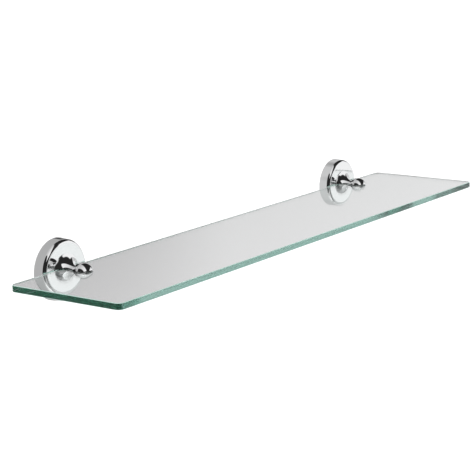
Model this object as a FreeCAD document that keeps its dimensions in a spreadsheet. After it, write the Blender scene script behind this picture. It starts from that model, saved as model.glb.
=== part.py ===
import FreeCAD, Part
import math
import os
import Sketcher

# Glass wall shelf on two turned metal brackets, in millimetres.
#
# The wall is the plane y = 0 and the shelf stands out from it towards -Y.
# +X runs along the shelf and +Z is up.  The origin is on the wall, midway
# between the brackets and level with their axes, which is also the level of
# the middle of the glass.  "Depth" below means a distance out from the wall.

DIMENSIONS = {
    # Glass
    "glass_length": 600.0,
    "glass_width": 120.0,
    "glass_thickness": 6.0,
    "glass_corner_radius": 5.5,
    "glass_arris": 0.7,
    "glass_wall_gap": 13.4,
    # Brackets
    "bracket_spacing": 456.0,
    # Rose: the round cover against the wall
    "rose_radius": 28.0,
    "rose_shoulder_radius": 27.6,
    "rose_depth": 12.4,
    "rose_round": 3.4,
    "rose_wall": 2.0,
    "rose_inner_chamfer": 2.2,
    # Post: the turned piece with the ball end, in front of the rose
    "post_base_radius": 15.2,
    "post_base_edge": 0.4,
    "flare_round": 14.0,
    "flare_reach": 13.3,
    "neck_radius": 5.5,
    "ball_radius": 9.6,
    "ball_depth": 32.0,
    "spigot_radius": 9.0,
    "spigot_depth": 5.8,
    "slot_relief": 0.4,
    # Lock nut and washer behind the rose's face
    "nut_flats": 24.0,
    "nut_thickness": 3.0,
    "washer_radius": 13.6,
    "washer_thickness": 1.0,
    # Wall plate inside the rose
    "plate_floor": 2.5,
    "ring_outer_radius": 21.5,
    "ring_inner_radius": 18.5,
    "ring_depth": 9.0,
    "groove_deep": 1.2,
    "wall_hole_radius": 2.25,
    "wall_hole_spacing": 28.0,
    # Soft liners between the slot's jaws and the glass
    "liner_thickness": 0.5,
    "liner_ball_radius": 8.3,
    "liner_strip_width": 7.2,
    "liner_start_depth": 14.2,
    "liner_hole_radius": 2.7,
    # Clamp screw and its pressure pad, under the ball
    "clamp_radius": 2.5,
    "clamp_length": 4.2,
    "clamp_socket_flats": 2.5,
    "clamp_socket_deep": 2.2,
    "pad_radius": 2.4,
    "pad_thickness": 2.0,
    # Set screw in the underside of the rose
    "set_radius": 2.0,
    "set_depth": 5.5,
    "set_recess": 0.35,
    "set_tip_radius": 20.6,
    "set_socket_flats": 2.0,
    "set_socket_deep": 2.4,
    # Fits and small edges
    "thread_gap": 0.05,
    "slip_gap": 0.1,
    "edge_break": 0.4,
}

# How far a cut runs past the material that it takes away.
OVERSHOOT = 2.0
# Two directions or lengths nearer than this are the same.
TOLERANCE = 1e-6
FULL_TURN = 360.0


class Size:
    """A number together with the sheet expression that gives it."""

    def __init__(self, number, text):
        self.number = number
        self.text = text

    def __neg__(self):
        return Size(-self.number, "-(" + self.text + ")")

    def __add__(self, other):
        other = as_size(other)
        return Size(self.number + other.number, "(" + self.text + " + " + other.text + ")")

    def __sub__(self, other):
        return self + (-as_size(other))

    def __mul__(self, factor):
        return Size(self.number * factor, "(" + self.text + ") * " + repr(float(factor)))


def as_size(value):
    """Return value unchanged when it is a Size, or wrap a plain number."""
    if isinstance(value, Size):
        return value
    return Size(float(value), repr(float(value)))


def make_sheet(doc):
    """Write the driving dimensions into the sheet, one aliased cell each."""
    sheet = doc.addObject("Spreadsheet::Sheet", "Dimensions")
    for row, (alias, value) in enumerate(DIMENSIONS.items(), start=1):
        sheet.set("A" + str(row), alias)
        sheet.set("B" + str(row), repr(value))
        sheet.setAlias("B" + str(row), alias)
    doc.recompute()
    return sheet


def size(alias):
    """Return the named driving dimension as a Size."""
    return Size(DIMENSIONS[alias], "Dimensions." + alias)


def bind(item, path, value):
    """Bind one property of a document object to a Size."""
    item.setExpression(path, as_size(value).text)


def make_body(doc, label, x=0.0, y=0.0, z=0.0):
    """Add a body and bind its Placement."""
    body = doc.addObject("PartDesign::Body", label)
    body.Label = label
    for axis, value in (("x", x), ("y", y), ("z", z)):
        bind(body, "Placement.Base." + axis, value)
    return body


def make_sketch(body, name, plane, offset=0.0):
    """Add a sketch on one of the body's origin planes, moved along its normal."""
    sketch = body.newObject("Sketcher::SketchObject", body.Name + "_" + name)
    origin_plane = [item for item in body.Origin.OriginFeatures if item.Role == plane][0]
    sketch.AttachmentSupport = [(origin_plane, "")]
    sketch.MapMode = "FlatFace"
    bind(sketch, "AttachmentOffset.Base.z", offset)
    return sketch


def fix_point(sketch, edge, point, place):
    """Hold one end of an edge at a place measured from the sketch's origin."""
    for kind, value in (("DistanceX", place[0]), ("DistanceY", place[1])):
        value = as_size(value)
        index = sketch.addConstraint(Sketcher.Constraint(kind, -1, 1, edge, point, value.number))
        sketch.setExpression("Constraints[" + str(index) + "]", value.text)


def arc_through(start, end, radius, side):
    """Return the shorter arc from start to end; side +1 puts its centre on the left."""
    chord = end - start
    to_centre = math.sqrt(radius ** 2 - (chord.Length / 2) ** 2)
    left = FreeCAD.Vector(-chord.y, chord.x, 0).normalize()
    centre = (start + end) * 0.5 + left * (to_centre * side)
    begin, finish = (start, end) if side > 0 else (end, start)
    first_angle = math.atan2(begin.y - centre.y, begin.x - centre.x)
    last_angle = math.atan2(finish.y - centre.y, finish.x - centre.x)
    if last_angle < first_angle:
        last_angle += 2 * math.pi
    circle = Part.Circle(centre, FreeCAD.Vector(0, 0, 1), radius)
    return Part.ArcOfCircle(circle, first_angle, last_angle)


def draw_outline(sketch, corners, rounds=None):
    """Draw a closed outline.

    corners are (horizontal, vertical) pairs.  rounds gives the edges that are
    arcs: the number of the corner an arc starts from, its radius and its side.
    """
    rounds = rounds or {}
    points = [FreeCAD.Vector(as_size(u).number, as_size(v).number, 0) for u, v in corners]
    edges = []
    ends = []
    for index, start in enumerate(points):
        end = points[(index + 1) % len(points)]
        radius, side = rounds.get(index, (None, 1))
        if radius is None:
            edges.append(Part.LineSegment(start, end))
        else:
            edges.append(arc_through(start, end, radius.number, side))
        # Arcs run counter-clockwise, so one whose centre is on the right starts at its far end.
        ends.append((1, 2) if side > 0 else (2, 1))
    sketch.addGeometry(edges, False)
    for index in range(len(points)):
        following = (index + 1) % len(points)
        finish = ends[index][1]
        begin = ends[following][0]
        sketch.addConstraint(Sketcher.Constraint("Coincident", index, finish, following, begin))
        fix_point(sketch, following, begin, corners[following])
    for index, arc in rounds.items():
        bind_radius(sketch, index, arc[0])


def bind_radius(sketch, edge, radius):
    """Hold the radius of a circle or an arc."""
    index = sketch.addConstraint(Sketcher.Constraint("Radius", edge, radius.number))
    sketch.setExpression("Constraints[" + str(index) + "]", radius.text)


def draw_circle(sketch, radius, u=0.0, v=0.0):
    """Draw a circle whose centre and radius are bound."""
    centre = FreeCAD.Vector(as_size(u).number, as_size(v).number, 0)
    edge = sketch.addGeometry(Part.Circle(centre, FreeCAD.Vector(0, 0, 1), radius.number), False)
    fix_point(sketch, edge, 3, (u, v))
    bind_radius(sketch, edge, radius)


def draw_rectangle(sketch, left, low, right, high):
    """Draw a rectangle from its four sides' places."""
    draw_outline(sketch, [(left, low), (right, low), (right, high), (left, high)])


def draw_hexagon(sketch, flats, u=0.0, v=0.0):
    """Draw a regular hexagon with two sides level, from its width across flats."""
    half_side = flats * (0.5 / math.sqrt(3))
    point = flats * (1 / math.sqrt(3))
    half_flats = flats * 0.5
    u = as_size(u)
    v = as_size(v)
    draw_outline(sketch, [
        (u + point, v),
        (u + half_side, v + half_flats),
        (u - half_side, v + half_flats),
        (u - point, v),
        (u - half_side, v - half_flats),
        (u + half_side, v - half_flats),
    ])


def turn(body, kind, name, sketch, axis):
    """Turn a sketch right round one of its own axes."""
    feature = body.newObject("PartDesign::" + kind, body.Name + "_" + name)
    feature.Profile = sketch
    feature.ReferenceAxis = (sketch, [axis])
    feature.Angle = FULL_TURN
    body.Document.recompute()
    return feature


def raise_pad(body, name, sketch, height):
    """Pad a sketch along its own normal."""
    pad = body.newObject("PartDesign::Pad", body.Name + "_" + name)
    pad.Profile = sketch
    bind(pad, "Length", height)
    body.Document.recompute()
    return pad


def sink_pocket(body, name, sketch, deep, along_normal=False):
    """Cut a sketch into the body, and make sure that it takes material away."""
    before = body.Shape.Volume
    pocket = body.newObject("PartDesign::Pocket", body.Name + "_" + name)
    pocket.Profile = sketch
    pocket.Reversed = along_normal
    bind(pocket, "Length", deep)
    body.Document.recompute()
    if not body.Shape.Volume < before:
        raise RuntimeError(pocket.Name + " cuts nothing")
    return pocket


def ease_edges(body, kind, name, references, amount):
    """Fillet or chamfer named edges or faces of the body's tip."""
    feature = body.newObject("PartDesign::" + kind, body.Name + "_" + name)
    feature.Base = references
    bind(feature, "Radius" if kind == "Fillet" else "Size", amount)
    body.Document.recompute()
    return feature


def faces_towards(feature, direction):
    """Name the flat faces of a feature whose outward normal is direction."""
    names = []
    for number, face in enumerate(feature.Shape.Faces, start=1):
        if isinstance(face.Surface, Part.Plane) and (face.normalAt(0, 0) - direction).Length < TOLERANCE:
            names.append("Face" + str(number))
    return names


def upright_edges(feature):
    """Name the edges of a feature that stand along Z."""
    names = []
    for number, edge in enumerate(feature.Shape.Edges, start=1):
        run = edge.lastVertex().Point - edge.firstVertex().Point
        if abs(run.z) > TOLERANCE and abs(run.x) < TOLERANCE and abs(run.y) < TOLERANCE:
            names.append("Edge" + str(number))
    return names


UP = FreeCAD.Vector(0, 0, 1)


def glass_shelf(doc):
    """Rectangular sheet with rounded corners and a polished arris all round."""
    body = make_body(doc, "glass_shelf")
    outline = make_sketch(body, "outline", "XY_Plane", size("glass_thickness") * -0.5)
    half_length = size("glass_length") * 0.5
    rear = -size("glass_wall_gap")
    draw_rectangle(outline, -half_length, rear - size("glass_width"), half_length, rear)
    sheet = raise_pad(body, "sheet", outline, size("glass_thickness"))
    corners = ease_edges(body, "Fillet", "corners", (sheet, upright_edges(sheet)),
                         size("glass_corner_radius"))
    rims = faces_towards(corners, UP) + faces_towards(corners, -UP)
    ease_edges(body, "Chamfer", "arris", (corners, rims), size("glass_arris"))
    return body


def wall_plate(doc, side, x):
    """Round cast plate: a floor on the wall and a ring grooved for the set screw."""
    body = make_body(doc, side + "_wall_plate", x)
    rim = size("rose_radius") - size("rose_wall") - size("slip_gap") * 2
    floor = size("plate_floor")
    profile = make_sketch(body, "profile", "YZ_Plane")
    draw_outline(profile, [
        (0.0, 0.0),
        (0.0, rim),
        (-floor, rim),
        (-floor, size("ring_outer_radius")),
        (-size("ring_depth"), size("ring_outer_radius")),
        (-size("ring_depth"), size("ring_inner_radius")),
        (-floor, size("ring_inner_radius")),
        (-floor, 0.0),
    ])
    turn(body, "Revolution", "disc", profile, "H_Axis")
    notch = make_sketch(body, "notch", "YZ_Plane")
    deep = size("groove_deep")
    middle = -size("set_depth")
    draw_outline(notch, [
        (middle - deep - OVERSHOOT, size("ring_outer_radius") + OVERSHOOT),
        (middle, size("ring_outer_radius") - deep),
        (middle + deep + OVERSHOOT, size("ring_outer_radius") + OVERSHOOT),
    ])
    turn(body, "Groove", "groove", notch, "H_Axis")
    holes = make_sketch(body, "holes", "XZ_Plane")
    for direction in (-0.5, 0.5):
        draw_circle(holes, size("wall_hole_radius"), 0.0, size("wall_hole_spacing") * direction)
    sink_pocket(body, "wall_holes", holes, floor + OVERSHOOT, along_normal=True)
    return body


def rose(doc, side, x):
    """Turned cover: a hollow cup with a rounded shoulder and a flat face."""
    body = make_body(doc, side + "_rose", x)
    face = size("rose_depth")
    wall = size("rose_wall")
    shoulder = size("rose_shoulder_radius")
    bore = size("spigot_radius") + size("slip_gap")
    inside = size("rose_radius") - wall
    chamfer = size("rose_inner_chamfer")
    profile = make_sketch(body, "profile", "YZ_Plane")
    draw_outline(profile, [
        (0.0, inside),
        (0.0, size("rose_radius")),
        (size("rose_round") - face, shoulder),
        (-face, shoulder - size("rose_round")),
        (-face, bore),
        (wall - face, bore),
        (wall - face, inside - chamfer),
        (wall - face + chamfer, inside),
    ], {2: (size("rose_round"), 1)})
    turn(body, "Revolution", "cup", profile, "H_Axis")
    hole = make_sketch(body, "set_hole", "XY_Plane")
    draw_circle(hole, size("set_radius") + size("thread_gap"), 0.0, -size("set_depth"))
    sink_pocket(body, "set_screw_hole", hole, size("rose_radius") + OVERSHOOT)
    return body


def post(doc, side, x):
    """Turned post: spigot, flared base, neck and ball, slotted for the glass."""
    body = make_body(doc, side + "_post", x)
    face = size("rose_depth")
    edge = face + size("post_base_edge")
    profile = make_sketch(body, "profile", "YZ_Plane")
    draw_outline(profile, [
        (-size("spigot_depth"), 0.0),
        (-size("spigot_depth"), size("spigot_radius")),
        (-face, size("spigot_radius")),
        (-face, size("post_base_radius")),
        (-edge, size("post_base_radius")),
        (-edge - size("flare_reach"), size("neck_radius")),
        (-size("ball_depth"), size("neck_radius")),
        (-size("ball_depth"), 0.0),
    ], {4: (size("flare_round"), -1)})
    turn(body, "Revolution", "stem", profile, "H_Axis")
    ball = body.newObject("PartDesign::AdditiveSphere", body.Name + "_ball")
    bind(ball, "Radius", size("ball_radius"))
    bind(ball, "Placement.Base.y", -size("ball_depth"))
    doc.recompute()
    slot = make_sketch(body, "slot", "YZ_Plane", -size("post_base_radius") - OVERSHOOT)
    jaw = size("glass_thickness") * 0.5 + size("liner_thickness")
    front = -size("ball_depth") - size("ball_radius") - OVERSHOOT
    draw_rectangle(slot, front, -jaw, size("slot_relief") - size("glass_wall_gap"), jaw)
    across = size("post_base_radius") * 2 + OVERSHOOT * 2
    sink_pocket(body, "glass_slot", slot, across, along_normal=True)
    bore = make_sketch(body, "bore", "XY_Plane")
    draw_circle(bore, size("clamp_radius") + size("thread_gap"), 0.0, -size("ball_depth"))
    sink_pocket(body, "clamp_bore", bore, size("ball_radius") + OVERSHOOT)
    return body


def lock_nut(doc, side, x):
    """Thin hexagon nut on the post's spigot, behind the washer."""
    body = make_body(doc, side + "_lock_nut", x)
    front = size("rose_depth") - size("rose_wall") - size("washer_thickness")
    outline = make_sketch(body, "outline", "XZ_Plane", front - size("nut_thickness"))
    draw_hexagon(outline, size("nut_flats"))
    draw_circle(outline, size("spigot_radius") + size("thread_gap"))
    raise_pad(body, "nut", outline, size("nut_thickness"))
    return body


def lock_washer(doc, side, x):
    """Flat washer between the nut and the inside of the rose's face."""
    body = make_body(doc, side + "_lock_washer", x)
    front = size("rose_depth") - size("rose_wall")
    outline = make_sketch(body, "outline", "XZ_Plane", front - size("washer_thickness"))
    draw_circle(outline, size("washer_radius"))
    draw_circle(outline, size("spigot_radius") + size("slip_gap"))
    raise_pad(body, "washer", outline, size("washer_thickness"))
    return body


def slot_liner(doc, side, level, x):
    """Thin soft liner: a disc in the ball's jaw with a strip along the neck's."""
    is_upper = level == "upper"
    body = make_body(doc, side + "_" + level + "_liner", x)
    thickness = size("liner_thickness")
    low = size("glass_thickness") * 0.5 if is_upper else size("glass_thickness") * -0.5 - thickness
    disc = make_sketch(body, "disc", "XY_Plane", low)
    draw_circle(disc, size("liner_ball_radius"), 0.0, -size("ball_depth"))
    raise_pad(body, "ball_pad", disc, thickness)
    strip = make_sketch(body, "strip", "XY_Plane", low)
    half_width = size("liner_strip_width") * 0.5
    draw_rectangle(strip, -half_width, -size("ball_depth"), half_width, -size("liner_start_depth"))
    raise_pad(body, "neck_strip", strip, thickness)
    if not is_upper:
        hole = make_sketch(body, "hole", "XY_Plane", low + thickness)
        draw_circle(hole, size("liner_hole_radius"), 0.0, -size("ball_depth"))
        sink_pocket(body, "pad_hole", hole, thickness)
    return body


def pressure_pad(doc, side, x):
    """Nylon disc that the clamp screw presses up against the glass."""
    top = size("glass_thickness") * -0.5
    body = make_body(doc, side + "_pressure_pad", x, -size("ball_depth"), top)
    outline = make_sketch(body, "outline", "XY_Plane", -size("pad_thickness"))
    draw_circle(outline, size("pad_radius"))
    raise_pad(body, "pad", outline, size("pad_thickness"))
    return body


def clamp_screw(doc, side, x):
    """Headless screw under the ball, with a hexagon socket in its lower end."""
    low = size("glass_thickness") * -0.5 - size("pad_thickness") - size("clamp_length")
    body = make_body(doc, side + "_clamp_screw", x, -size("ball_depth"), low)
    outline = make_sketch(body, "outline", "XY_Plane")
    draw_circle(outline, size("clamp_radius"))
    shank = raise_pad(body, "shank", outline, size("clamp_length"))
    ends = faces_towards(shank, UP) + faces_towards(shank, -UP)
    ease_edges(body, "Chamfer", "ends", (shank, ends), size("edge_break"))
    socket = make_sketch(body, "socket", "XY_Plane")
    draw_hexagon(socket, size("clamp_socket_flats"))
    sink_pocket(body, "hexagon_socket", socket, size("clamp_socket_deep"), along_normal=True)
    return body


def set_screw(doc, side, x):
    """Headless cone-point screw, up through the rose into the plate's groove."""
    body = make_body(doc, side + "_rose_set_screw", x, -size("set_depth"))
    low = size("set_recess") - size("rose_shoulder_radius")
    radius = size("set_radius")
    tip = -size("set_tip_radius")
    profile = make_sketch(body, "profile", "YZ_Plane")
    draw_outline(profile, [
        (0.0, low),
        (radius - size("edge_break"), low),
        (radius, low + size("edge_break")),
        (radius, tip - radius),
        (0.0, tip),
    ])
    turn(body, "Revolution", "shank", profile, "V_Axis")
    socket = make_sketch(body, "socket", "XY_Plane", low)
    draw_hexagon(socket, size("set_socket_flats"))
    sink_pocket(body, "hexagon_socket", socket, size("set_socket_deep"), along_normal=True)
    return body


def bracket(doc, side, x):
    """All the pieces of one bracket, from the wall outwards."""
    return [
        wall_plate(doc, side, x),
        rose(doc, side, x),
        post(doc, side, x),
        lock_nut(doc, side, x),
        lock_washer(doc, side, x),
        slot_liner(doc, side, "upper", x),
        slot_liner(doc, side, "lower", x),
        pressure_pad(doc, side, x),
        clamp_screw(doc, side, x),
        set_screw(doc, side, x),
    ]


def check(doc, bodies):
    """Stop if anything in the document failed or is not one sound solid."""
    for item in doc.Objects:
        if "Invalid" in item.State or "Error" in item.State:
            raise RuntimeError(item.Name + " failed: " + str(item.State))
    for body in bodies:
        if body.Shape.isNull() or not body.Shape.isValid():
            raise RuntimeError(body.Label + " has no valid shape")
        if len(body.Shape.Solids) != 1:
            raise RuntimeError(body.Label + " is not one solid")


def main():
    """Build the document, check it and write one file for each sub-part."""
    doc = FreeCAD.newDocument("wall_shelf")
    make_sheet(doc)
    half_spacing = size("bracket_spacing") * 0.5
    bodies = [glass_shelf(doc)]
    bodies += bracket(doc, "left", -half_spacing)
    bodies += bracket(doc, "right", half_spacing)
    doc.recompute()
    check(doc, bodies)
    os.makedirs("parts", exist_ok=True)
    for body in bodies:
        body.Shape.exportStep("parts/" + body.Label + ".step")
        box = body.Shape.optimalBoundingBox()
        print(f"{body.Label:24} {body.Shape.Volume:10.1f} mm3  "
              f"x {box.XMin:7.1f} {box.XMax:7.1f}  y {box.YMin:7.1f} {box.YMax:6.1f}  "
              f"z {box.ZMin:6.2f} {box.ZMax:6.2f}")


main()
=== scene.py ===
import math

import bmesh
import bpy
from mathutils import Matrix, Vector


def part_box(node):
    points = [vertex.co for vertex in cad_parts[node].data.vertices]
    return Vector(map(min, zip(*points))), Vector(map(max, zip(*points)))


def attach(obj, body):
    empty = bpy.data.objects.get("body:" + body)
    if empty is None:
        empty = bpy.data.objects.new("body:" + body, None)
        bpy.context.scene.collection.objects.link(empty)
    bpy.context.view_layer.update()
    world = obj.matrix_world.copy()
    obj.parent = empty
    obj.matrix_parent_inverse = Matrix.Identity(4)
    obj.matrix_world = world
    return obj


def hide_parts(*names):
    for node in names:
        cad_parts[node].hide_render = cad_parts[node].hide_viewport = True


# A clear glass shelf on two turned chrome brackets.
#
# The wall is the plane y = 0, the shelf stands out from it towards -Y, and +Z
# is up.  "Depth" is a distance out from the wall, along -Y.  The outlines and
# small sizes below are in millimetres, and MM turns them into metres.

MM = 0.001
SIDES = ("left", "right")

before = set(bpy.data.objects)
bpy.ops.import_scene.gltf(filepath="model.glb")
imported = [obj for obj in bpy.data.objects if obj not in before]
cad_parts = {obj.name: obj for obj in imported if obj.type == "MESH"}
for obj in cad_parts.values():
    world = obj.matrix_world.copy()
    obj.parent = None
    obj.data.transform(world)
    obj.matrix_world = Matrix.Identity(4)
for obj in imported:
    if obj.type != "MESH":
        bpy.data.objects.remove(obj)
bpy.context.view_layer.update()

# ---------------------------------------------------------------- sizes

# Sizes of the turned pieces that the CAD boxes don't give.
ROSE_SHOULDER_RADIUS = 27.6
ROSE_ROUND = 3.4
ROSE_WALL = 2.0
ROSE_INNER_CHAMFER = 2.2
ROSE_BORE_RADIUS = 9.1
SPIGOT_RADIUS = 9.0
POST_EDGE = 0.4
FLARE_ROUND = 14.0
FLARE_REACH = 13.3
NECK_RADIUS = 5.5
BORE_CLEARANCE = 0.05

# The slot is open a little way behind the rear edge of the glass.
SLOT_RELIEF = 0.4
# How far a cut runs past the material that it takes away.
OVERSHOOT = 2.0

# Small breaks on edges that a polisher would leave.
EDGE_BREAK = 0.2

# The glass.  Its arris is drawn narrower than the 0.7 mm of the CAD model.
GLASS_CORNER_RADIUS = 5.5
GLASS_ARRIS = 0.45
# The glass is drawn this much thinner on each side, clear of what it lies on.
GLASS_CLEARANCE = 0.01

TURN_STEPS = 192
HOLE_STEPS = 48
CORNER_STEPS = 16
ARC_STEPS = 16
BALL_STEPS = 48

# Edges that turn more than this, in degrees, are sharp.
SHARP_ANGLE = 30.0
# Corners nearer than this, in millimetres, are one corner.
MERGE_DISTANCE = 0.0005


def in_mm(length):
    """Turn a length of the frame, in metres, into millimetres."""
    return length / MM


def half_width(node):
    """Half the width of a CAD node along X, in millimetres."""
    low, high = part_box(node)
    return in_mm(high.x - low.x) / 2


def centre(node):
    """The middle of a CAD node's box, in metres."""
    low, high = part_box(node)
    return (low + high) / 2


# The two brackets are the same, so one of them gives the sizes.
ROSE_RADIUS = half_width("left_rose")
ROSE_DEPTH = in_mm(-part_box("left_rose")[0].y)
POST_BASE_RADIUS = half_width("left_post")
SPIGOT_DEPTH = in_mm(-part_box("left_post")[1].y)
POST_FRONT = in_mm(-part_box("left_post")[0].y)
BALL_DEPTH = in_mm(-centre("left_clamp_screw").y)
JAW = in_mm(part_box("left_upper_liner")[1].z)
BALL_RADIUS = math.hypot(POST_FRONT - BALL_DEPTH, JAW)
CLAMP_BORE_RADIUS = half_width("left_clamp_screw") + BORE_CLEARANCE
SET_HOLE_RADIUS = half_width("left_rose_set_screw") + BORE_CLEARANCE
SET_DEPTH = in_mm(-centre("left_rose_set_screw").y)
GLASS_WALL_GAP = in_mm(-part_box("glass_shelf")[1].y)

# ---------------------------------------------------------------- mesh tools


def arc(middle, radius, first, last, steps):
    """Points (depth, radius) along an arc about middle; angles are in degrees."""
    points = []
    for step in range(steps + 1):
        angle = math.radians(first + (last - first) * step / steps)
        points.append((middle[0] + radius * math.cos(angle), middle[1] + radius * math.sin(angle)))
    return points


def finish_mesh(name, bm):
    """Make an object of a bmesh: smooth faces, with sharp edges where it turns."""
    bmesh.ops.remove_doubles(bm, verts=bm.verts, dist=MERGE_DISTANCE * MM)
    bmesh.ops.recalc_face_normals(bm, faces=bm.faces)
    for face in bm.faces:
        face.smooth = True
    for edge in bm.edges:
        edge.smooth = edge.calc_face_angle(0.0) < math.radians(SHARP_ANGLE)
    mesh = bpy.data.meshes.new(name)
    bm.to_mesh(mesh)
    bm.free()
    piece = bpy.data.objects.new(name, mesh)
    bpy.context.scene.collection.objects.link(piece)
    return piece


def turned(name, outline, steps=TURN_STEPS):
    """Turn a closed outline of (depth, radius) points right round the bracket's axis."""
    bm = bmesh.new()
    rings = []
    for step in range(steps):
        angle = 2 * math.pi * step / steps
        ring = []
        for depth, radius in outline:
            place = Vector((radius * math.cos(angle), -depth, radius * math.sin(angle)))
            ring.append(bm.verts.new(place * MM))
        rings.append(ring)
    count = len(outline)
    for step in range(steps):
        here = rings[step]
        after = rings[(step + 1) % steps]
        for index in range(count):
            other = (index + 1) % count
            if outline[index][1] or outline[other][1]:
                bm.faces.new((here[index], here[other], after[other], after[index]))
    return finish_mesh(name, bm)


def block(low, high):
    """A box used as a cutting tool, from its two corners in millimetres."""
    bm = bmesh.new()
    bmesh.ops.create_cube(bm, size=1.0)
    low = Vector(low)
    high = Vector(high)
    for vert in bm.verts:
        share = vert.co + Vector((0.5, 0.5, 0.5))
        vert.co = Vector([low[i] + (high[i] - low[i]) * share[i] for i in range(3)]) * MM
    return finish_mesh("cutter", bm)


def upright_rod(depth, radius, low, high):
    """An upright cylinder used as a cutting tool, in millimetres."""
    bm = bmesh.new()
    bmesh.ops.create_cone(
        bm, cap_ends=True, segments=HOLE_STEPS, radius1=radius, radius2=radius, depth=high - low)
    for vert in bm.verts:
        vert.co = (vert.co + Vector((0.0, -depth, (low + high) / 2))) * MM
    return finish_mesh("cutter", bm)


def cut(piece, tool):
    """Take the tool's volume out of a piece, and throw the tool away."""
    boolean = piece.modifiers.new("cut", "BOOLEAN")
    boolean.operation = "DIFFERENCE"
    boolean.solver = "EXACT"
    boolean.object = tool
    depsgraph = bpy.context.evaluated_depsgraph_get()
    mesh = bpy.data.meshes.new_from_object(piece.evaluated_get(depsgraph))
    piece.modifiers.clear()
    piece.data = mesh
    bpy.data.objects.remove(tool)
    bm = bmesh.new()
    bm.from_mesh(mesh)
    bmesh.ops.dissolve_degenerate(bm, edges=bm.edges, dist=MERGE_DISTANCE * MM)
    for edge in bm.edges:
        edge.smooth = edge.calc_face_angle(0.0) < math.radians(SHARP_ANGLE)
    bm.to_mesh(mesh)
    bm.free()


# ---------------------------------------------------------------- pieces


def rose_outline():
    """The hollow cup: straight side, rounded shoulder and flat face."""
    inside = ROSE_RADIUS - ROSE_WALL
    back = ROSE_DEPTH - ROSE_WALL
    middle = (ROSE_DEPTH - ROSE_ROUND, ROSE_SHOULDER_RADIUS - ROSE_ROUND)
    return [
        (0.0, inside),
        (0.0, ROSE_RADIUS - EDGE_BREAK),
        (EDGE_BREAK, ROSE_RADIUS),
        *arc(middle, ROSE_ROUND, 90.0, 0.0, ARC_STEPS),
        (ROSE_DEPTH, ROSE_BORE_RADIUS),
        (back, ROSE_BORE_RADIUS),
        (back, inside - ROSE_INNER_CHAMFER),
        (back - ROSE_INNER_CHAMFER, inside),
    ]


def post_outline():
    """Spigot, flared base and ball; the flare runs straight into the ball."""
    edge = ROSE_DEPTH + POST_EDGE
    middle = (edge + FLARE_REACH, NECK_RADIUS + FLARE_ROUND)
    ball = (BALL_DEPTH, 0.0)
    # The flare and the ball are two circles: find where they meet behind the ball.
    apart = math.hypot(ball[0] - middle[0], middle[1])
    towards = math.degrees(math.atan2(ball[1] - middle[1], ball[0] - middle[0]))
    along = (apart ** 2 + FLARE_ROUND ** 2 - BALL_RADIUS ** 2) / (2 * apart)
    last = towards % 360.0 - math.degrees(math.acos(along / FLARE_ROUND))
    first = math.degrees(math.atan2(POST_BASE_RADIUS - middle[1], edge - middle[0])) % 360.0
    flare = arc(middle, FLARE_ROUND, first, last, ARC_STEPS * 2)
    meet = flare[-1]
    ball_first = math.degrees(math.atan2(meet[1], meet[0] - ball[0]))
    return [
        (SPIGOT_DEPTH, 0.0),
        (SPIGOT_DEPTH, SPIGOT_RADIUS - EDGE_BREAK),
        (SPIGOT_DEPTH + EDGE_BREAK, SPIGOT_RADIUS),
        (ROSE_DEPTH, SPIGOT_RADIUS),
        (ROSE_DEPTH, POST_BASE_RADIUS),
        *flare,
        *arc(ball, BALL_RADIUS, ball_first, 0.0, BALL_STEPS)[1:-1],
        (BALL_DEPTH + BALL_RADIUS, 0.0),
    ]


def make_rose(side):
    """The round cover against the wall, with the set screw's hole underneath."""
    rose = turned(side + "_rose_polished", rose_outline())
    inside = ROSE_RADIUS - ROSE_WALL
    cut(rose, upright_rod(SET_DEPTH, SET_HOLE_RADIUS, -ROSE_RADIUS - OVERSHOOT, -inside + OVERSHOOT))
    return rose


def make_post(side):
    """The turned post, slotted for the glass and bored for the clamp screw."""
    post = turned(side + "_post_polished", post_outline())
    reach = POST_BASE_RADIUS + OVERSHOOT
    slot_front = -(BALL_DEPTH + BALL_RADIUS + OVERSHOOT)
    slot_rear = -(GLASS_WALL_GAP - SLOT_RELIEF)
    cut(post, block((-reach, slot_front, -JAW), (reach, slot_rear, JAW)))
    cut(post, upright_rod(BALL_DEPTH, CLAMP_BORE_RADIUS, -BALL_RADIUS - OVERSHOOT, -JAW + OVERSHOOT))
    return post


def rounded_rectangle(half_x, half_y, radius):
    """Points round a rectangle with rounded corners, in millimetres."""
    points = []
    corners = ((1, 1, 0.0), (-1, 1, 90.0), (-1, -1, 180.0), (1, -1, 270.0))
    for sign_x, sign_y, start in corners:
        middle = (sign_x * (half_x - radius), sign_y * (half_y - radius))
        points += arc(middle, radius, start, start + 90.0, CORNER_STEPS)
    return points


def make_glass():
    """The sheet: flat faces, upright polished edges, and an arris between them."""
    low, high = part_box("glass_shelf")
    half_x = in_mm(high.x - low.x) / 2
    half_y = in_mm(high.y - low.y) / 2
    half_z = in_mm(high.z - low.z) / 2 - GLASS_CLEARANCE
    levels = [
        (GLASS_ARRIS, -half_z),
        (0.0, GLASS_ARRIS - half_z),
        (0.0, half_z - GLASS_ARRIS),
        (GLASS_ARRIS, half_z),
    ]
    bm = bmesh.new()
    rings = []
    for inset, height in levels:
        outline = rounded_rectangle(half_x - inset, half_y - inset, GLASS_CORNER_RADIUS - inset)
        rings.append([bm.verts.new(Vector((x, y, height)) * MM) for x, y in outline])
    bands = (ARRIS_INDEX, EDGE_INDEX, ARRIS_INDEX)
    count = len(rings[0])
    for band, lower, upper in zip(bands, rings, rings[1:]):
        for index in range(count):
            other = (index + 1) % count
            face = bm.faces.new((lower[index], lower[other], upper[other], upper[index]))
            face.material_index = band
    for ring in (rings[0], rings[-1]):
        bm.faces.new(ring).material_index = FACE_INDEX
    glass = finish_mesh("glass_sheet", bm)
    glass.location = (low + high) / 2
    return glass


# ---------------------------------------------------------------- materials

FACE_INDEX, EDGE_INDEX, ARRIS_INDEX = range(3)

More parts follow.
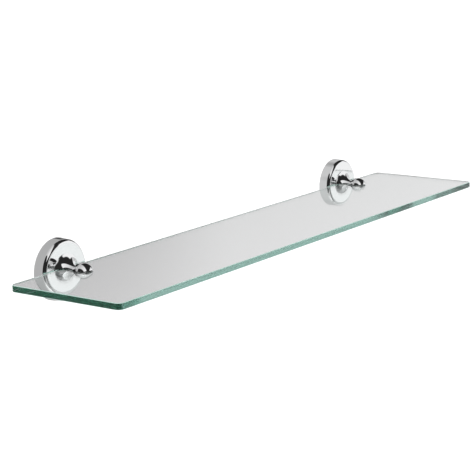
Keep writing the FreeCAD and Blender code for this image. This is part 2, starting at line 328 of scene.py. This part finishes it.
# Absorption of the glass: what the colour leaves out, times the density, is lost in each metre.
GLASS_TINT = (0.30, 0.71, 0.61, 1.0)
GLASS_DENSITY = 10.0
GLASS_IOR = 1.52

# The plastics: how far the roughness strays either side of its middle.
PLASTIC_SPREAD = 0.05
PLASTIC_IOR = 1.5


def new_material(name):
    """A new node material, with its tree and its main shader."""
    material = bpy.data.materials.new(name)
    material.use_nodes = True
    tree = material.node_tree
    return material, tree, tree.nodes["Principled BSDF"]


def noise(tree, scale, detail=3.0):
    """A noise pattern in the piece's own coordinates; scale is in features per metre."""
    place = tree.nodes.new("ShaderNodeTexCoord")
    texture = tree.nodes.new("ShaderNodeTexNoise")
    texture.inputs["Scale"].default_value = scale
    texture.inputs["Detail"].default_value = detail
    tree.links.new(place.outputs["Object"], texture.inputs["Vector"])
    return texture.outputs["Fac"]


def ramp(tree, value, low, high):
    """Spread a 0 to 1 value over the range from low to high."""
    spread = tree.nodes.new("ShaderNodeMapRange")
    spread.inputs["To Min"].default_value = low
    spread.inputs["To Max"].default_value = high
    tree.links.new(value, spread.inputs["Value"])
    return spread.outputs["Result"]


def mix_colours(tree, value, first, second):
    """A colour between two, by a 0 to 1 value."""
    mix = tree.nodes.new("ShaderNodeMix")
    mix.data_type = "RGBA"
    mix.inputs["A"].default_value = first
    mix.inputs["B"].default_value = second
    tree.links.new(value, mix.inputs["Factor"])
    return mix.outputs["Result"]


def bump(tree, shader, height, strength, distance):
    """Raise the surface by a pattern; distance is in metres."""
    node = tree.nodes.new("ShaderNodeBump")
    node.inputs["Strength"].default_value = strength
    node.inputs["Distance"].default_value = distance
    tree.links.new(height, node.inputs["Height"])
    tree.links.new(node.outputs["Normal"], shader.inputs["Normal"])


def absorb(tree):
    """Give a glass material the faint green of float glass, which shows along its length."""
    volume = tree.nodes.new("ShaderNodeVolumeAbsorption")
    volume.inputs["Color"].default_value = GLASS_TINT
    volume.inputs["Density"].default_value = GLASS_DENSITY
    tree.links.new(volume.outputs["Volume"], tree.nodes["Material Output"].inputs["Volume"])


def glass_material(name, low_rough, high_rough):
    """Clear float glass whose surface is as rough as its polish leaves it."""
    material, tree, shader = new_material(name)
    shader.inputs["Base Color"].default_value = (1.0, 1.0, 1.0, 1.0)
    shader.inputs["Transmission Weight"].default_value = 1.0
    shader.inputs["IOR"].default_value = GLASS_IOR
    polish = noise(tree, scale=60.0)
    tree.links.new(ramp(tree, polish, low_rough, high_rough), shader.inputs["Roughness"])
    absorb(tree)
    return material


def arris_material():
    """The ground arris: fine satin that catches the light along the edge."""
    material, tree, shader = new_material("glass_arris")
    pattern = noise(tree, scale=900.0, detail=4.0)
    tree.links.new(
        mix_colours(tree, pattern, (0.60, 0.84, 0.77, 1.0), (0.72, 0.92, 0.86, 1.0)),
        shader.inputs["Base Color"])
    tree.links.new(ramp(tree, pattern, low=0.35, high=0.5), shader.inputs["Roughness"])
    shader.inputs["Transmission Weight"].default_value = 0.35
    shader.inputs["IOR"].default_value = GLASS_IOR
    absorb(tree)
    return material


def chrome_material():
    """Bright chrome plate with the faintest unevenness of polish."""
    material, tree, shader = new_material("chrome")
    polish = noise(tree, scale=220.0, detail=4.0)
    tree.links.new(
        mix_colours(tree, polish, (0.90, 0.905, 0.915, 1.0), (0.93, 0.932, 0.935, 1.0)),
        shader.inputs["Base Color"])
    shader.inputs["Metallic"].default_value = 1.0
    tree.links.new(ramp(tree, polish, low=0.01, high=0.035), shader.inputs["Roughness"])
    return material


def metal_material(name, first, second, low_rough, high_rough, grain, height):
    """A plain metal with a fine grain, whose height is in metres."""
    material, tree, shader = new_material(name)
    pattern = noise(tree, grain, detail=5.0)
    tree.links.new(mix_colours(tree, pattern, first, second), shader.inputs["Base Color"])
    tree.links.new(ramp(tree, pattern, low_rough, high_rough), shader.inputs["Roughness"])
    shader.inputs["Metallic"].default_value = 1.0
    bump(tree, shader, pattern, strength=0.3, distance=height)
    return material


def plastic_material(name, first, second, rough, transmission):
    """A soft moulded plastic, clear or milky."""
    material, tree, shader = new_material(name)
    pattern = noise(tree, scale=400.0)
    tree.links.new(mix_colours(tree, pattern, first, second), shader.inputs["Base Color"])
    tree.links.new(
        ramp(tree, pattern, rough - PLASTIC_SPREAD, rough + PLASTIC_SPREAD), shader.inputs["Roughness"])
    shader.inputs["Transmission Weight"].default_value = transmission
    shader.inputs["IOR"].default_value = PLASTIC_IOR
    return material


def paint(piece, *materials):
    """Give a piece its materials in order; its faces keep their places in that order."""
    while len(piece.data.materials) < len(materials):
        piece.data.materials.append(None)
    for slot, material in zip(piece.material_slots, materials):
        slot.material = material


# ---------------------------------------------------------------- the studio

# The pale backdrop, and how bright the studio is where it has no panel.
BACKDROP = (1.06, 1.01, 1.03, 1.0)
DARK_STUDIO = 0.02
# Half the width of a soft edge, measured along the direction that bounds it.
PANEL_SOFTNESS = 0.05

# Each panel covers the directions that go at least so far along each of its bounds
# (X, Y, Z, least).  Its brightness then runs evenly from one value straight out from the wall
# (Y = -1) to another straight into it (Y = +1).
PANELS = (
    # The grey wall side.
    (((0.46, 0.83, -0.31, -0.15), (-0.23, 0.86, -0.46, -0.05)), 2.3, 0.0),
    # The long soft box overhead, from the wall side down to the front, where it is brightest.
    (((1.0, 0.0, 0.0, -0.55), (-0.97, 0.24, 0.0, -0.13), (0.0, 0.51, 0.86, 0.0)), 1.0, 0.3),
    # The white panel on the right, and the paler one beside it.
    (((-0.17, -0.98, 0.0, 0.0), (0.82, 0.57, 0.0, 0.0), (0.0, 0.0, -1.0, -0.45)), 0.95, 0.95),
    (((0.5, -0.87, 0.0, 0.0), (0.0, 0.0, -1.0, -0.2), (0.97, 0.26, 0.0, 0.0)), 0.6, 0.6),
)

# A dark flag, low beyond the right-hand end, which only reflections show: its direction, and
# the angles in degrees where it is wholly dark and where it ends.
FLAG = ((0.653, 0.726, 0.216), 5.0, 12.0)

# A ray that has gone in and out of the glass once reaches the studio at less than this depth.
STRAIGHT_DEPTH = 3.5
# How much of the backdrop shows straight through the glass.
SHEET_CLEARNESS = 0.78
# How much of it shows at the end of a long way through the glass.  It only shows on the wall
# side, and rises between these two values of the direction's Y.
EDGE_GLOW = 0.5
GLOW_START = 0.0
GLOW_FULL = 0.2

# The ground: how bright it is, and where it starts below the horizon.
BELOW = 0.25
BELOW_START = 0.08


def maths(tree, operation, first, second):
    """A two-value Math node; either value may be a number or a socket."""
    node = tree.nodes.new("ShaderNodeMath")
    node.operation = operation
    for socket, value in zip(node.inputs, (first, second)):
        if isinstance(value, float):
            socket.default_value = value
        else:
            tree.links.new(value, socket)
    return node.outputs["Value"]


def smooth_step(tree, value, low, high):
    """0 below low and 1 above high, with a soft rise between."""
    node = tree.nodes.new("ShaderNodeMapRange")
    node.interpolation_type = "SMOOTHSTEP"
    node.inputs["From Min"].default_value = low
    node.inputs["From Max"].default_value = high
    tree.links.new(value, node.inputs["Value"])
    return node.outputs["Result"]


def along(tree, look, direction):
    """How far the direction of look goes along another direction."""
    dot = tree.nodes.new("ShaderNodeVectorMath")
    dot.operation = "DOT_PRODUCT"
    dot.inputs[1].default_value = direction
    tree.links.new(look, dot.inputs[0])
    return dot.outputs["Value"]


def panel(tree, look, bounds, front, back):
    """A soft-edged panel, whose brightness runs from front at Y = -1 to back at Y = +1."""
    shape = 1.0
    for x, y, z, least in bounds:
        side = along(tree, look, (x, y, z))
        inside = smooth_step(tree, side, least - PANEL_SOFTNESS, least + PANEL_SOFTNESS)
        shape = maths(tree, "MULTIPLY", inside, shape)
    spread = tree.nodes.new("ShaderNodeMapRange")
    spread.inputs["From Min"].default_value = -1.0
    spread.inputs["To Min"].default_value = front
    spread.inputs["To Max"].default_value = back
    tree.links.new(along(tree, look, (0.0, 1.0, 0.0)), spread.inputs["Value"])
    return maths(tree, "MULTIPLY", shape, spread.outputs["Result"])


def make_studio():
    """The room's light: a dark studio with soft panels and a pale ground."""
    world = bpy.data.worlds.new("studio")
    world.use_nodes = True
    bpy.context.scene.world = world
    tree = world.node_tree
    look = tree.nodes.new("ShaderNodeTexCoord").outputs["Generated"]
    light = DARK_STUDIO
    for bounds, front, back in PANELS:
        light = maths(tree, "MAXIMUM", panel(tree, look, bounds, front, back), light)
    path = tree.nodes.new("ShaderNodeLightPath")
    direction, inner, outer = FLAG
    flag = smooth_step(
        tree, along(tree, look, direction), math.cos(math.radians(outer)), math.cos(math.radians(inner)))
    flag = maths(tree, "MULTIPLY", flag, path.outputs["Is Glossy Ray"])
    light = maths(tree, "MULTIPLY", light, maths(tree, "SUBTRACT", 1.0, flag))
    down = along(tree, look, (0.0, 0.0, -1.0))
    ground = smooth_step(tree, down, BELOW_START - PANEL_SOFTNESS, BELOW_START + PANEL_SOFTNESS)
    light = maths(tree, "MAXIMUM", light, maths(tree, "MULTIPLY", ground, BELOW))
    grey = tree.nodes.new("ShaderNodeCombineColor")
    for channel in ("Red", "Green", "Blue"):
        tree.links.new(light, grey.inputs[channel])
    # What is seen directly is the pale backdrop, most of it shows straight through the glass,
    # and some of it at the end of the longer ways through the glass.
    through = maths(tree, "LESS_THAN", path.outputs["Ray Depth"], STRAIGHT_DEPTH)
    through = maths(tree, "MULTIPLY", through, SHEET_CLEARNESS)
    glow = smooth_step(tree, along(tree, look, (0.0, 1.0, 0.0)), GLOW_START, GLOW_FULL)
    through = maths(tree, "MAXIMUM", through, maths(tree, "MULTIPLY", glow, EDGE_GLOW))
    through = maths(tree, "MULTIPLY", through, path.outputs["Is Transmission Ray"])
    direct = maths(tree, "MAXIMUM", path.outputs["Is Camera Ray"], through)
    mix = tree.nodes.new("ShaderNodeMix")
    mix.data_type = "RGBA"
    mix.inputs["B"].default_value = BACKDROP
    tree.links.new(direct, mix.inputs["Factor"])
    tree.links.new(grey.outputs["Color"], mix.inputs["A"])
    tree.links.new(mix.outputs["Result"], tree.nodes["Background"].inputs["Color"])


FLOOR_HEIGHT = -2.4
FLOOR_HALF = 150.0
SUN_STRENGTH = 3.5
SUN_ANGLE = 60.0


def make_floor():
    """The plain pale floor, far enough down to clear every view, and the soft light on it."""
    bm = bmesh.new()
    corners = ((-1, -1), (1, -1), (1, 1), (-1, 1))
    bm.faces.new([bm.verts.new((x * FLOOR_HALF, y * FLOOR_HALF, FLOOR_HEIGHT)) for x, y in corners])
    floor = finish_mesh("floor", bm)
    material, _, shader = new_material("pale_floor")
    shader.inputs["Base Color"].default_value = (0.9, 0.9, 0.9, 1.0)
    shader.inputs["Roughness"].default_value = 1.0
    shader.inputs["Specular IOR Level"].default_value = 0.0
    paint(floor, material)
    floor.visible_glossy = False
    floor.visible_transmission = False
    sun = bpy.data.lights.new("soft_sun", "SUN")
    sun.energy = SUN_STRENGTH
    sun.angle = math.radians(SUN_ANGLE)
    lamp = bpy.data.objects.new("soft_sun", sun)
    bpy.context.scene.collection.objects.link(lamp)
    lamp.visible_glossy = False
    lamp.visible_transmission = False


# The camera: its place in metres, the degrees it looks clockwise from +Y seen from above, the
# degrees it looks downwards, and its tilt in degrees.
CAMERA_PLACE = (-1.23208, -0.92496, 0.32651)
CAMERA_AZIMUTH = 54.012
CAMERA_DOWN = 12.474
CAMERA_TILT = -1.368
CAMERA_LENS = 121.528
SENSOR_WIDTH = 36.0
FAR_CLIP = 600.0

# Light goes along inside the glass by many reflections.
LIGHT_BOUNCES = 64


def make_camera():
    """A long lens, from the left, in front and a little above."""
    data = bpy.data.cameras.new("camera")
    data.sensor_width = SENSOR_WIDTH
    data.lens = CAMERA_LENS
    data.clip_end = FAR_CLIP
    camera = bpy.data.objects.new("camera", data)
    bpy.context.scene.collection.objects.link(camera)
    azimuth = math.radians(CAMERA_AZIMUTH)
    down = math.radians(CAMERA_DOWN)
    forward = Vector((
        math.sin(azimuth) * math.cos(down), math.cos(azimuth) * math.cos(down), -math.sin(down)))
    turn = forward.to_track_quat("-Z", "Y").to_matrix().to_4x4()
    tilt = Matrix.Rotation(math.radians(CAMERA_TILT), 4, "Z")
    camera.matrix_world = Matrix.Translation(CAMERA_PLACE) @ turn @ tilt
    bpy.context.scene.camera = camera


# ---------------------------------------------------------------- assembly

make_camera()
make_studio()
make_floor()

scene = bpy.context.scene
scene.view_settings.view_transform = "Standard"
scene.cycles.max_bounces = LIGHT_BOUNCES
scene.cycles.transmission_bounces = LIGHT_BOUNCES
scene.cycles.glossy_bounces = LIGHT_BOUNCES

chrome = chrome_material()
zinc = metal_material(
    "cast_zinc", (0.42, 0.43, 0.44, 1.0), (0.56, 0.57, 0.58, 1.0),
    low_rough=0.42, high_rough=0.6, grain=900.0, height=0.00005)
brass = metal_material(
    "plain_brass", (0.66, 0.50, 0.24, 1.0), (0.74, 0.58, 0.32, 1.0),
    low_rough=0.2, high_rough=0.32, grain=700.0, height=0.00002)
steel = metal_material(
    "plated_steel", (0.55, 0.56, 0.58, 1.0), (0.66, 0.67, 0.68, 1.0),
    low_rough=0.2, high_rough=0.34, grain=1200.0, height=0.00002)
vinyl = plastic_material(
    "clear_vinyl", (0.92, 0.94, 0.94, 1.0), (0.96, 0.97, 0.97, 1.0), rough=0.2, transmission=0.85)
nylon = plastic_material(
    "nylon", (0.84, 0.83, 0.78, 1.0), (0.9, 0.89, 0.85, 1.0), rough=0.4, transmission=0.15)

node_materials = {
    "wall_plate": zinc,
    "lock_nut": brass,
    "lock_washer": steel,
    "upper_liner": vinyl,
    "lower_liner": vinyl,
    "pressure_pad": nylon,
    "clamp_screw": steel,
    "rose_set_screw": steel,
}

glass = make_glass()
paint(
    glass,
    glass_material("float_glass", low_rough=0.0, high_rough=0.004),
    glass_material("polished_glass_edge", low_rough=0.14, high_rough=0.22),
    arris_material())
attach(glass, "glass")
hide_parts("glass_shelf")

for side in SIDES:
    place = Vector((centre(side + "_rose").x, 0.0, 0.0))
    for node, piece in (("_rose", make_rose(side)), ("_post", make_post(side))):
        piece.location = place
        paint(piece, chrome)
        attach(piece, "brackets")
        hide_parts(side + node)
    for node, material in node_materials.items():
        paint(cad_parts[side + "_" + node], material)
